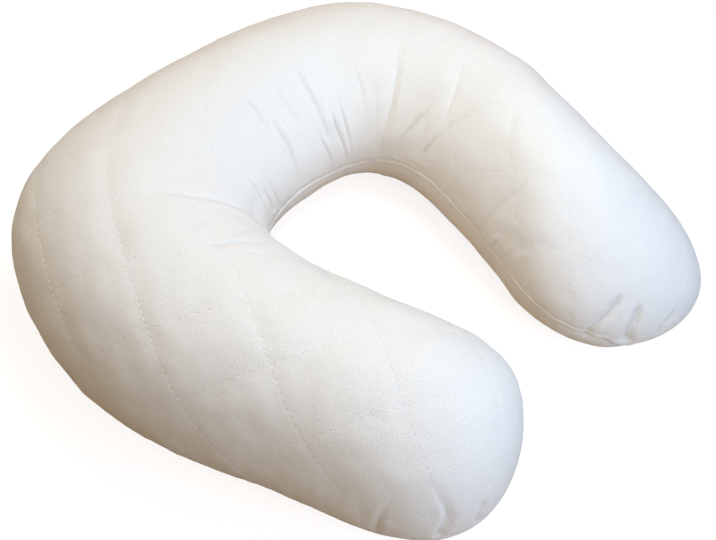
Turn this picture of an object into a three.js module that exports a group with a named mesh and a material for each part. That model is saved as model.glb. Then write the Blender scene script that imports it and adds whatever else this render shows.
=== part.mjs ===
// A U-shaped cervical pillow: two quilted cotton panels sewn together round their edge and filled.
// It lies on its back: the underside is flat on the surface, and +Z points up through the crown.
// The bend of the U is towards +Y and the two arms point towards -Y.
// Lengths are millimetres and angles are degrees.

import * as THREE from 'three';

// Driving dimensions

const QUILT_CELL = 45; // side of a quilting square on the flat panel
const QUILT_PUFF = 2.0; // how far the middle of a square stands out of its stitched channels
const OUTER_SEAM = 12; // height of the edge seam under the outer side
const SEAM_PINCH = 3.0; // how far the edge seam draws the side in
const SEAM_TURN = 0.2; // rows over which the seam drops as it turns round an arm's end
const STEEPEST_SEAM = 60; // largest angle of the seam below the widest line
const WIDEST_HEIGHT = 0.416; // height of the widest line, as a share of the section's height
const UNDERSIDE_POWER = 2.05; // superellipse power below the widest line
const BASE_PRESS = 10; // how far the filling would hang below the surface that presses it flat
const TIP_LENGTH = 1.045; // length of each rounded arm end, in section rows
const CHANNEL_FADE = 16; // height over which the quilting channels fade out towards the flat base

const STATIONS = 141; // rings along the U
const OUTER_STEPS = 12; // steps across the top panel, from the outer seam to the crown
const INNER_STEPS = 10; // steps across the top panel, from the crown to the inner seam
const UNDERSIDE_STEPS = 12; // steps across the underside panel, from seam to seam

// Sections from the end of the one arm (-X), round the bend, to the end of the other arm (+X).
// Each has the plan points of its inner and outer edge, its height, and the height of the edge seam
// on its inner side.
const SECTIONS = [
  { innerX: -16, innerY: -301, outerX: -141, outerY: -317, height: 103, innerSeam: 26 },
  { innerX: -25, innerY: -244, outerX: -152, outerY: -238, height: 111, innerSeam: 40 },
  { innerX: -53, innerY: -150, outerX: -194, outerY: -115, height: 117, innerSeam: 46 },
  { innerX: -47, innerY: -94, outerX: -154, outerY: 25, height: 117, innerSeam: 42 },
  { innerX: 0, innerY: -77, outerX: 0, outerY: 67, height: 101, innerSeam: 37 },
  { innerX: 50, innerY: -88, outerX: 138, outerY: 21, height: 104, innerSeam: 39 },
  { innerX: 58, innerY: -139, outerX: 172, outerY: -112, height: 115, innerSeam: 53 },
  { innerX: 35, innerY: -221, outerX: 140, outerY: -223, height: 118, innerSeam: 50 },
  { innerX: 4, innerY: -302, outerX: 158, outerY: -335, height: 92, innerSeam: 40 },
];

// The flat upper panel, a row for each section: the heading of its middle line there, and how much
// flat cloth goes into each millimetre along and across the filled pillow.
const PANEL = [
  { heading: 115, along: 0.87, across: 1.00 },
  { heading: 127, along: 0.98, across: 0.90 },
  { heading: 117, along: 0.98, across: 0.92 },
  { heading: 83, along: 0.93, across: 0.91 },
  { heading: 44, along: 0.96, across: 0.82 },
  { heading: 18, along: 1.02, across: 0.94 },
  { heading: -23, along: 0.97, across: 1.00 },
  { heading: -38, along: 1.03, across: 1.26 },
  { heading: -41, along: 0.89, across: 1.16 },
];

// Where the quilting grid's zero corner lies on the flat panel, from the middle of the bend
const GRID_ORIGIN = { x: -101, y: -121 };

// Gathers that the filling pulls into the inner side of the bend, by their place in section rows
const GATHERS = [
  { at: 2.85, width: 0.10, depth: 3.0 },
  { at: 3.34, width: 0.09, depth: 3.0 },
  { at: 3.98, width: 0.08, depth: 3.5 },
  { at: 4.50, width: 0.07, depth: 3.0 },
  { at: 4.74, width: 0.07, depth: 3.5 },
  { at: 5.05, width: 0.07, depth: 2.5 },
  { at: 5.36, width: 0.08, depth: 4.0 },
  { at: 5.70, width: 0.09, depth: 3.0 },
  { at: 6.05, width: 0.08, depth: 2.5 },
];

// A natural cubic spline through values at 0, 1, 2 and so on: its second derivatives come from the
// usual three-term equations, solved from the first row down and back.
function naturalSpline(values) {
  const last = values.length - 1;
  const ratio = new Array(last + 1).fill(0);
  const bend = new Array(last + 1).fill(0);
  for (let k = 1; k < last; k += 1) {
    const pivot = 4 - ratio[k - 1];
    ratio[k] = 1 / pivot;
    bend[k] = (6 * (values[k + 1] - 2 * values[k] + values[k - 1]) - bend[k - 1]) / pivot;
  }
  bend[last] = 0;
  for (let k = last - 1; k > 0; k -= 1) {
    bend[k] -= ratio[k] * bend[k + 1];
  }
  bend[0] = 0;
  return (row) => {
    const k = Math.min(Math.max(Math.floor(row), 0), last - 1);
    const b = row - k;
    const a = 1 - b;
    const curve = ((a * a * a - a) * bend[k] + (b * b * b - b) * bend[k + 1]) / 6;
    return a * values[k] + b * values[k + 1] + curve;
  };
}

const column = (name) => naturalSpline(SECTIONS.map((section) => section[name]));
const panelColumn = (name) => naturalSpline(PANEL.map((section) => section[name]));
const innerX = column('innerX');
const innerY = column('innerY');
const outerX = column('outerX');
const outerY = column('outerY');
const height = column('height');
const innerSeam = column('innerSeam');
const heading = panelColumn('heading');
const along = panelColumn('along');
const across = panelColumn('across');

const smooth = (x) => {
  const c = THREE.MathUtils.clamp(x, 0, 1);
  return c * c * (3 - 2 * c);
};

// How much of the full section is left at a row: an elliptic round-off over each arm end
function endRounding(row) {
  const fromNearest = Math.min(row, SECTIONS.length - 1 - row);
  const left = Math.max(0, 1 - fromNearest / TIP_LENGTH);
  return Math.sqrt(1 - left * left);
}

// One point of the smooth outer form. The angle is 0 at the outer edge, 90 at the crown and 180 at
// the inner edge; the lower half is a superellipse that the surface below cuts off flat.
function formPoint(row, angle) {
  const share = endRounding(row);
  const turn = THREE.MathUtils.degToRad(angle);
  const upper = Math.sin(turn) >= 0;
  const power = upper ? 1 : 2 / UNDERSIDE_POWER;
  const sideways = Math.sign(Math.cos(turn)) * Math.abs(Math.cos(turn)) ** power * share;
  const upwards = Math.sign(Math.sin(turn)) * Math.abs(Math.sin(turn)) ** power * share;
  const middle = height(row) * WIDEST_HEIGHT;
  const reach = upper ? height(row) - middle : middle + BASE_PRESS;
  return new THREE.Vector3(
    (innerX(row) + outerX(row)) / 2 + ((outerX(row) - innerX(row)) / 2) * sideways,
    (innerY(row) + outerY(row)) / 2 + ((outerY(row) - innerY(row)) / 2) * sideways,
    Math.max(0, middle + reach * upwards),
  );
}

// Rings lie closer together on the rounded arm ends
function stationRow(k) {
  const u = k / (STATIONS - 1);
  return (0.25 * (1 - Math.cos(Math.PI * u)) + 0.5 * u) * (SECTIONS.length - 1);
}

// The seam's angle below the widest line of a row's section, for a seam at that height
function seamDrop(row, seamHeight) {
  const middle = height(row) * WIDEST_HEIGHT;
  const share = endRounding(row);
  const below = middle - seamHeight;
  const reach = below > 0 ? middle + BASE_PRESS : height(row) - middle;
  const power = below > 0 ? UNDERSIDE_POWER / 2 : 1;
  const rise = Math.min(Math.abs(below) / (reach * Math.max(share, 0.01)), 1) ** power;
  const drop = Math.sign(below) * THREE.MathUtils.radToDeg(Math.asin(rise));
  return THREE.MathUtils.clamp(drop, -STEEPEST_SEAM, STEEPEST_SEAM);
}

// Angles round a row's section: from the outer seam to the crown, on to the inner seam, and back
// under the pillow. The seam is low under the outer side and higher on the inner side.
function ringAngles(row) {
  const fromNearest = Math.min(row, SECTIONS.length - 1 - row);
  const inside = smooth(fromNearest / SEAM_TURN);
  const outer = -seamDrop(row, OUTER_SEAM);
  const inner = 180 + seamDrop(row, OUTER_SEAM + (innerSeam(row) - OUTER_SEAM) * inside);
  const angles = [];
  for (let k = 0; k < OUTER_STEPS; k += 1) {
    angles.push(outer + ((90 - outer) * k) / OUTER_STEPS);
  }
  for (let k = 0; k < INNER_STEPS; k += 1) {
    angles.push(90 + ((inner - 90) * k) / INNER_STEPS);
  }
  for (let k = 0; k < UNDERSIDE_STEPS; k += 1) {
    angles.push(inner + ((360 + outer - inner) * k) / UNDERSIDE_STEPS);
  }
  return angles;
}

// The smooth form, ring by ring
const rows = Array.from({ length: STATIONS }, (_, k) => stationRow(k));
const rings = rows.map((row) => ringAngles(row));
const form = rings.map((angles, k) => angles.map((angle) => formPoint(rows[k], angle)));
const steps = OUTER_STEPS + INNER_STEPS + UNDERSIDE_STEPS;
const crownStep = OUTER_STEPS;
const innerSeamStep = OUTER_STEPS + INNER_STEPS;

// The middle line of the flat panel: the crown line's length, laid out along the panel's headings
const bendStation = (STATIONS - 1) / 2;
const panelMiddle = [new THREE.Vector2(0, 0)];
for (let k = 1; k < STATIONS; k += 1) {
  const mid = (rows[k] + rows[k - 1]) / 2;
  const length = form[k][crownStep].distanceTo(form[k - 1][crownStep]) * along(mid);
  const turn = THREE.MathUtils.degToRad(heading(mid));
  const step = new THREE.Vector2(Math.cos(turn), Math.sin(turn)).multiplyScalar(length);
  panelMiddle.push(panelMiddle[k - 1].clone().add(step));
}
const bendMiddle = panelMiddle[bendStation].clone();

// Length of cloth from the crown to each point of a ring, more than 0 towards the outer edge
function clothAcross(ring) {
  const lengths = new Array(steps).fill(0);
  for (let j = crownStep - 1; j >= 0; j -= 1) {
    lengths[j] = lengths[j + 1] + ring[j].distanceTo(ring[j + 1]);
  }
  for (let j = crownStep + 1; j < steps; j += 1) {
    lengths[j] = lengths[j - 1] - ring[j].distanceTo(ring[j - 1]);
  }
  return lengths;
}

// The quilting: 1 in the middle of a square and 0 on its stitched channels
function quiltPuff(k, clothLength) {
  const turn = THREE.MathUtils.degToRad(heading(rows[k]));
  const offset = clothLength * across(rows[k]);
  const x = panelMiddle[k].x - bendMiddle.x - Math.sin(turn) * offset - GRID_ORIGIN.x;
  const y = panelMiddle[k].y - bendMiddle.y + Math.cos(turn) * offset - GRID_ORIGIN.y;
  const ridge = (v) => Math.abs(Math.sin((Math.PI * v) / QUILT_CELL)) ** 0.7;
  return ridge(x) * ridge(y);
}

// How deep the gathers draw a point in: they run from the inner seam up towards the crown
function gatherDepth(row, angle) {
  const reach = smooth((angle - 75) / 70) * smooth((230 - angle) / 40);
  return GATHERS.reduce((depth, fold) => (
    depth + fold.depth * reach * Math.exp(-(((row - fold.at) / fold.width) ** 2))
  ), 0);
}

// The finished surface: each point of the smooth form moved along the form's own normal
function sewnSurface() {
  const surface = [];
  for (let k = 1; k < STATIONS - 1; k += 1) {
    const lengths = clothAcross(form[k]);
    const ring = form[k].map((point, j) => {
      const lengthwise = form[k + 1][j].clone().sub(form[k - 1][j]);
      const round = form[k][(j + 1) % steps].clone().sub(form[k][(j + steps - 1) % steps]);
      const outward = round.cross(lengthwise).normalize();
      const angle = rings[k][j];
      const aboveBase = smooth(point.z / CHANNEL_FADE);
      const atSeam = j === 0 || j === innerSeamStep;
      const share = endRounding(rows[k]);
      let move = QUILT_PUFF * (quiltPuff(k, lengths[j]) - 0.5) * share;
      move -= gatherDepth(rows[k], angle) + (atSeam ? SEAM_PINCH : 0) * share;
      const moved = point.clone().addScaledVector(outward, move * aboveBase);
      moved.z = Math.max(0, moved.z);
      return moved;
    });
    surface.push(ring);
  }
  return surface;
}

function pillowGeometry() {
  const surface = sewnSurface();
  const firstTip = form[0][0];
  const lastTip = form[STATIONS - 1][0];
  const points = [firstTip, ...surface.flat(), lastTip];
  const at = (k, j) => 1 + k * steps + (j % steps);
  const faces = [];
  for (let j = 0; j < steps; j += 1) {
    faces.push(0, at(0, j + 1), at(0, j));
    faces.push(points.length - 1, at(surface.length - 1, j), at(surface.length - 1, j + 1));
  }
  for (let k = 0; k < surface.length - 1; k += 1) {
    for (let j = 0; j < steps; j += 1) {
      faces.push(at(k, j), at(k + 1, j + 1), at(k + 1, j));
      faces.push(at(k, j), at(k, j + 1), at(k + 1, j + 1));
    }
  }
  const geometry = new THREE.BufferGeometry();
  geometry.setAttribute('position', new THREE.Float32BufferAttribute(points.flatMap((p) => p.toArray()), 3));
  geometry.setIndex(faces);
  // The origin is the middle of the footprint
  geometry.computeBoundingBox();
  const middle = geometry.boundingBox.getCenter(new THREE.Vector3());
  geometry.translate(-middle.x, -middle.y, 0);
  geometry.computeVertexNormals();
  return geometry;
}

const quiltedCotton = new THREE.MeshStandardMaterial({
  name: 'quilted_cotton',
  color: new THREE.Color(0.93, 0.905, 0.87),
  roughness: 0.9,
  metalness: 0,
});

const pillow = new THREE.Mesh(pillowGeometry(), quiltedCotton);
pillow.name = 'quilted_pillow';

const group = new THREE.Group();
group.add(pillow);

export default group;
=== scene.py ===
# %% [markdown]
# # A quilted neck pillow
#
# The real thing is a bag of two quilted cotton panels, sewn together round the edge of a U and
# stuffed with fibre. This lesson first loads the plain model of it, called the frame.
# Then it works the cloth surface out as arrays of numbers: the filled form, the quilted squares,
# the gathers at the bend and the seam. After that come the threads, the finish of the cotton, the
# floor, the lights and the camera.

# %% Load the frame
import math

import bpy
import numpy as np
from mathutils import Matrix, Vector


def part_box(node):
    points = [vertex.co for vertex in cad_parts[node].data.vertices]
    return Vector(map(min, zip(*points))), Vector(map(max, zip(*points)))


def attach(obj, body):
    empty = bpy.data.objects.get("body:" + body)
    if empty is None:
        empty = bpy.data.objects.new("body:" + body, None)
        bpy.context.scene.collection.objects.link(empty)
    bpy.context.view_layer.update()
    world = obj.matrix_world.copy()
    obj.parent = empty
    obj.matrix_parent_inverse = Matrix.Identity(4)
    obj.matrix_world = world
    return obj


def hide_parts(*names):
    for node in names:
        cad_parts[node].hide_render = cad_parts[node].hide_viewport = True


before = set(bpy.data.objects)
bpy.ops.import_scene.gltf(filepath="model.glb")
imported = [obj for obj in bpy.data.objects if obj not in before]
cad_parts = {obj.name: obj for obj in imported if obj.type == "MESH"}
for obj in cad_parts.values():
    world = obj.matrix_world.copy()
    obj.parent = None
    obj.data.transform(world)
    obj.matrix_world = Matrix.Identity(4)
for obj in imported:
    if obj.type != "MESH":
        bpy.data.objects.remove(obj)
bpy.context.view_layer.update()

MM = 0.001  # the script works in millimetres, and Blender in metres

# %% [markdown]
# ## The filled form
#
# The pillow is a tube whose section changes along the U. Nine sections, from the end of one arm
# round the bend to the end of the other, say where its inner and outer edge lie in plan and how
# high it stands. A spline carries each column from section to section, so the whole form is a
# function of two parameters: the place along the U in section rows, and an angle round the tube.
# A sculpted mesh could look as good, but nobody could change the arm's length in it afterwards.
# The edges, heights, widest height, powers and tip length are the result of a least-squares fit to
# the photograph's outline and traced seam, rounded. The seam heights were then set one by one.

# %% The sections along the U
SECTIONS = {
    "inner_x": (-16, -25, -53, -47, 0, 50, 58, 35, 4),
    "inner_y": (-301, -244, -150, -94, -77, -88, -139, -221, -302),
    "outer_x": (-141, -152, -194, -154, 0, 138, 172, 140, 158),
    "outer_y": (-317, -238, -115, 25, 67, 21, -112, -223, -335),
    "height": (103, 111, 117, 117, 101, 104, 115, 118, 92),
    "inner_seam": (26, 40, 44, 37.5, 36, 34, 49, 45, 40),
    "seam_lip": (0.45, 0.45, 0.45, 0.35, 0.8, 0.4, 0.7, 0.5, 0.45),
    "long_lines": (0.30, 0.38, 0.85, 0.75, 0.20, 0.15, 0.20, 0.25, 0.15),
    "cross_lines": (0.15, 0.32, 0.55, 0.35, 0.12, 0.10, 0.15, 0.20, 0.15),
}
LAST_ROW = 8
WIDEST_HEIGHT = 0.416  # height of the widest line, as a share of the section's height
UNDERSIDE_POWER = 2.05  # superellipse power below the widest line
BASE_PRESS = 10.0  # how far the filling would hang below the surface that presses it flat
BASE_ROUND = 2.5  # how softly the pressed cloth turns up off the surface
TIP_LENGTH = 1.045  # length of each rounded arm end, in section rows


def spline(values):
    """A natural cubic spline through values at 0, 1, 2 and so on."""
    y = np.asarray(values, float)
    inner = len(y) - 2
    system = 4 * np.eye(inner) + np.eye(inner, k=1) + np.eye(inner, k=-1)
    curve = np.zeros(len(y))
    curve[1:-1] = np.linalg.solve(system, 6 * (y[2:] - 2 * y[1:-1] + y[:-2]))

    def at(row):
        row = np.asarray(row, float)
        k = np.clip(np.floor(row).astype(int), 0, len(y) - 2)
        b = row - k
        a = 1 - b
        bend = ((a**3 - a) * curve[k] + (b**3 - b) * curve[k + 1]) / 6
        return a * y[k] + b * y[k + 1] + bend

    return at


column = {name: spline(values) for name, values in SECTIONS.items()}


def smooth(x):
    """0 below 0, 1 above 1, and an even S-curve between."""
    c = np.clip(x, 0, 1)
    return c * c * (3 - 2 * c)


def bell(distance, width):
    """1 on the line, falling off as a Gaussian bell of that width."""
    return np.exp(-((distance / width) ** 2))


def between(values, start, stop, start_fade, stop_fade):
    """1 between two values, with an S-curve down to 0 at the start and at the stop."""
    return smooth((values - start) / start_fade) * smooth((stop - values) / stop_fade)


def end_rounding(row):
    """The share of the full section left at a row: a quarter ellipse over each arm end."""
    left = np.clip(1 - np.minimum(row, LAST_ROW - row) / TIP_LENGTH, 0, 1)
    return np.sqrt(1 - left**2)


def form(row, angle):
    """Points of the filled form at section rows and angles, in millimetres. The angle is 0 at
    the outer edge, 90 at the crown and 180 at the inner edge. Above the widest line the section
    is half an ellipse, below it half a superellipse, and a soft floor presses its bottom flat."""
    row, angle = np.broadcast_arrays(np.asarray(row, float), np.asarray(angle, float))
    turn = np.radians(angle)
    share = end_rounding(row)
    upper = np.sin(turn) >= 0
    power = np.where(upper, 1.0, 2 / UNDERSIDE_POWER)
    side = np.sign(np.cos(turn)) * np.abs(np.cos(turn)) ** power * share
    rise = np.sign(np.sin(turn)) * np.abs(np.sin(turn)) ** power * share
    inner = np.stack([column["inner_x"](row), column["inner_y"](row)], -1)
    outer = np.stack([column["outer_x"](row), column["outer_y"](row)], -1)
    height = column["height"](row)
    middle = height * WIDEST_HEIGHT
    z = middle + np.where(upper, height - middle, middle + BASE_PRESS) * rise
    z = 0.5 * (z + np.sqrt(z**2 + BASE_ROUND**2))
    plan = (inner + outer) / 2 + (outer - inner) / 2 * side[..., None]
    return np.concatenate([plan, z[..., None]], -1)


# %% Where the rings and their points go
RINGS = 540
RING_POINTS = 182
BEND_CROWDING = 0.5  # how much closer the rings lie in the bend, where the gathers are
BEND_ROW, BEND_SPREAD = 4.6, 1.7  # where that is, and how far it reaches
UNDERSIDE_SPACING = 0.5  # density of points on the underside, against 1 on the rest
UNDERSIDE = (205, 305, 20, 20)  # the angles it spans, and over how many the density changes
SEAM_CROWDING = 2.4  # how much closer the points lie at the inner seam
SEAM_CROWD_WIDTH = 9.0  # degrees


def even_rows(count):
    """Rows whose rings lie evenly along the tube, but closer together in the bend."""
    sweep = np.linspace(0, 1, 4001)
    rows = LAST_ROW * 0.5 * (1 - np.cos(np.pi * sweep))
    side = form(rows[:, None], np.array([0.0, 90.0, 180.0]))
    step = np.linalg.norm(np.diff(side, axis=0), axis=2).mean(axis=1)
    step = step * (1 + BEND_CROWDING * bell((rows[1:] + rows[:-1]) / 2 - BEND_ROW, BEND_SPREAD))
    length = np.concatenate([[0], np.cumsum(step)])
    return np.interp(np.linspace(0, length[-1], count + 2), length, rows)


def seam_angles(rows):
    """The angle at which each section's inner side passes the height of its seam."""
    sweep = np.linspace(150, 215, 261)
    z = form(rows[:, None], sweep)[..., 2]
    return np.array([np.interp(-seam, -line, sweep) for seam, line in zip(column["inner_seam"](rows), z)])


def ring_angles(rows, count):
    """Angles round the rings: crowded at the inner seam and further apart on the underside."""
    sweep = np.linspace(0, 360, 3601)
    hidden = between(sweep, *UNDERSIDE)
    density = 1 - (1 - UNDERSIDE_SPACING) * hidden + SEAM_CROWDING * bell(sweep - 180, SEAM_CROWD_WIDTH)
    share = np.concatenate([[0], np.cumsum((density[1:] + density[:-1]) / 2)])
    even = np.interp(np.linspace(0, share[-1], count, endpoint=False), share, sweep)
    for mark in (90, 180, 270):
        even[np.argmin(np.abs(even - mark))] = mark
    pull = np.cos(np.radians(even - 180)) ** 2 * (np.abs(even - 180) < 90)
    return even + pull * (seam_angles(rows) - 180)[:, None]


all_rows = even_rows(RINGS)
rows = all_rows[1:-1]
angles = ring_angles(rows, RING_POINTS)
signed_angles = np.where(angles > 250, angles - 360, angles)
smooth_form = form(rows[:, None], angles)
print("form:", smooth_form.shape, "height", round(float(smooth_form[..., 2].max()), 1), "mm")

# %% [markdown]
# ## Measuring on the surface
#
# The relief that comes next is given in real millimetres of cloth, such as a groove 3 mm wide.
# So two measures are needed at every point: how far the cloth runs across the tube from its
# crown, and how fast any pattern changes per millimetre. The second turns a level line of a
# pattern into a true distance from that line, however the pattern is stretched.


# %% Slopes, normals and lengths
def around(values):
    """The change of a closed ring's values over one point, the ring's ends joined."""
    return (np.roll(values, -1, axis=1) - np.roll(values, 1, axis=1)) / 2


def along(values):
    """The change of the values over one ring."""
    return np.gradient(values, axis=0)


step_round = around(smooth_form)
step_along = along(smooth_form)
normal = np.cross(step_round, step_along)
normal /= np.linalg.norm(normal, axis=2, keepdims=True)
round_mm = np.linalg.norm(step_round, axis=2)
along_mm = np.linalg.norm(step_along, axis=2)
skew = (step_round * step_along).sum(2) / (round_mm * along_mm)


def slope(values):
    """How much a pattern changes per millimetre in its steepest direction."""
    g = around(values) / round_mm
    h = along(values) / along_mm
    return np.sqrt(np.maximum(g * g + h * h - 2 * g * h * skew, 1e-9) / (1 - skew**2))


def cloth_from(start):
    """Millimetres of cloth round the ring from the point nearest an angle to every point, more
    than 0 towards the outer edge. The measure breaks on the far side of the ring."""
    first = int(np.argmin(np.abs(angles[0] - start)))
    edge = np.linalg.norm(np.roll(smooth_form, -1, axis=1) - smooth_form, axis=2)
    walked = np.cumsum(edge, axis=1) - edge
    round_ring = edge.sum(axis=1, keepdims=True)
    length = walked - walked[:, first : first + 1]
    return (length + round_ring / 2) % round_ring - round_ring / 2


crown = int(np.argmin(np.abs(angles[0] - 90)))
crown_step = np.linalg.norm(np.diff(smooth_form[:, crown], axis=0), axis=1)
print("crown line:", round(float(crown_step.sum())), "mm long")

# %% [markdown]
# ## The quilting
#
# Each panel is quilted flat, in a square grid of straight stitch lines, before it is cut and
# stuffed. On the filled pillow the lines curve. To get them right, the flat panel is laid out
# again: its middle line takes the crown's length along its own headings, and each point lies as
# far off it as the cloth runs across the tube. In that flat layout the lines are straight, so
# the place in the grid is simply x and y over the size of a square. The headings, stretches and
# origin come from a fit to traced stitch lines, rounded.

# %% Lay the flat panel out
QUILT_CELL = 45.0  # side of a quilting square
PANEL = {
    "heading": (115, 127, 117, 83, 44, 18, -23, -38, -41),
    "along": (0.87, 0.98, 0.98, 0.93, 0.96, 1.02, 0.97, 1.03, 0.89),
    "across": (1.00, 0.90, 0.92, 0.91, 0.82, 0.94, 1.00, 1.26, 1.16),
}
GRID_ORIGIN = (-101.0, -121.0)  # the grid's zero corner, from the middle of the bend
UNDER_PANEL_SHIFT = (0.37, 0.21)  # the under panel's squares don't meet the upper panel's

panel = {name: spline(values) for name, values in PANEL.items()}
heading = np.radians(panel["heading"](rows))
flat_step = crown_step * panel["along"]((rows[1:] + rows[:-1]) / 2)
mid_heading = (heading[1:] + heading[:-1]) / 2
middle_line = np.zeros((RINGS, 2))
middle_line[1:, 0] = np.cumsum(flat_step * np.cos(mid_heading))
middle_line[1:, 1] = np.cumsum(flat_step * np.sin(mid_heading))
middle_line -= [np.interp(LAST_ROW / 2, rows, middle_line[:, k]) for k in (0, 1)]


def panel_grid(across, shift):
    """Places in a panel's quilting grid, in squares, for lengths of cloth off its middle line."""
    off = across * panel["across"](rows)[:, None]
    x = middle_line[:, :1] - np.sin(heading)[:, None] * off - GRID_ORIGIN[0]
    y = middle_line[:, 1:] + np.cos(heading)[:, None] * off - GRID_ORIGIN[1]
    return x / QUILT_CELL + shift[0], y / QUILT_CELL + shift[1]


upper_grid = panel_grid(-cloth_from(90), (0, 0))
under_grid = panel_grid(cloth_from(270), UNDER_PANEL_SHIFT)

# %% Distances from the stitch lines
def line_distance(grid):
    """Millimetres from each point to the nearest whole-number line of the grid."""
    return np.abs(grid - np.round(grid)) / slope(grid)


upper_lines = [line_distance(grid) for grid in upper_grid]
under_lines = [line_distance(grid) for grid in under_grid]

# %% [markdown]
# ## The seam
#
# One seam joins the two panels all round. It shows along the inner side of the U, a quarter to
# two fifths of the way up, and drops out of sight under the outer side. As a function it is the
# line where the surface's height equals a seam height, so its distance comes from the same slope
# measure as the quilting's.

# %% Distance from the edge seam
OUTER_SEAM = 12.0  # height of the seam under the outer side
TIP_SEAM_FADE = 0.2  # rows over which the inner seam drops as it turns round an arm's end
SEAM_RISE_START, SEAM_RISE_LENGTH = 0.25, 1.05  # where across the tube the seam climbs inwards

across_share = np.cos(np.radians(angles))
to_tip = np.minimum(rows, LAST_ROW - rows)[:, None]
inner_side = smooth((SEAM_RISE_START - across_share) / SEAM_RISE_LENGTH) * smooth(to_tip / TIP_SEAM_FADE)
seam_height = OUTER_SEAM + (column["inner_seam"](rows)[:, None] - OUTER_SEAM) * inner_side
above_seam = smooth_form[..., 2] - seam_height
seam_distance = above_seam / slope(above_seam)

# %% [markdown]
# ## The relief
#
# Everything sewn or squeezed into the cloth is a height above or below the smooth form. Grooves
# are narrow bell curves of the distance from their line, over a wider and shallower one. Gathers
# are creases with a soft ridge on each side, because cloth that is pushed in at the crease has to
# come out beside it.


# %% Shapes of a groove and a crease
FOLD_RIDGE = 0.16  # height of the soft ridges beside a crease, as a share of its depth
RIDGE_PLACE, RIDGE_WIDTH = 2.4, 1.3  # in widths of the crease


def crease(distance, width, lean=0.0):
    """A sharp-bottomed valley of depth 1 with a soft ridge on both sides. A lean above 0 makes
    the side beyond the line wider and the side before it steeper."""
    x = np.abs(distance) / (width * np.where(distance > 0, 1 + lean, 1 - 0.6 * lean))
    return np.exp(0.25 - np.sqrt(x**2 + 0.0625)) - FOLD_RIDGE * bell(x - RIDGE_PLACE, RIDGE_WIDTH)


# %% Quilted squares
STITCH_GROOVE = 0.28  # depth of the narrow groove that the thread pulls
STITCH_GROOVE_WIDTH = 1.6
SQUARE_VALLEY = 0.95  # depth of the wide valley between two squares
SQUARE_VALLEY_WIDTH = 7.0
BEND_ROWS = (3.0, 7.2, 0.6, 0.8)  # where the bend starts and stops, and how softly
GATHERED = (118, 150)  # angles between which the gathers of the bend take the quilting's place
GATHERED_LOSS = 0.8  # share of the quilting's depth that they take
STRETCHED = (80, 40)  # angles between which the cloth grows tight towards the outer side
STRETCHED_LOSS = 0.7  # share of the quilting's depth that is lost there

rng = np.random.default_rng(7)


def wave_noise(points, size, count, generator):
    """Smooth noise of about unit height: the sum of sine waves of random directions, whose
    lengths scatter round the given size."""
    direction = generator.normal(size=(count, 3))
    direction /= np.linalg.norm(direction, axis=1, keepdims=True)
    length = size * generator.uniform(0.75, 1.5, count)
    phase = generator.uniform(0, 2 * np.pi, count)
    total = np.zeros(points.shape[:-1])
    for way, wave, start in zip(direction, length, phase):
        total += np.sin(points @ way * (2 * np.pi / wave) + start)
    return total / math.sqrt(count / 2)


bend = between(rows[:, None], *BEND_ROWS)
upper_panel = above_seam > 0
gathered = bend * smooth((signed_angles - GATHERED[0]) / (GATHERED[1] - GATHERED[0])) * upper_panel
tight = smooth((STRETCHED[0] - signed_angles) / (STRETCHED[0] - STRETCHED[1]))
stretched = 1 - STRETCHED_LOSS * tight * upper_panel
kept = 1 - GATHERED_LOSS * gathered
clear_lines = [column[name](rows)[:, None] for name in ("long_lines", "cross_lines")]
line_share = [clear * kept * stretched for clear in clear_lines]


def quilted(lines):
    """The depth of the quilting: where two lines cross, the deeper wins softly."""

    def channels(width):
        left = [1 - share * bell(gap, width) for gap, share in zip(lines, line_share)]
        return 1 - np.prod(left, axis=0)

    return STITCH_GROOVE * channels(STITCH_GROOVE_WIDTH) + SQUARE_VALLEY * channels(SQUARE_VALLEY_WIDTH)


line_gap = np.where(upper_panel, np.minimum(*upper_lines), np.minimum(*under_lines))
quilt_depth = np.where(upper_panel, quilted(upper_lines), quilted(under_lines))
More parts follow.
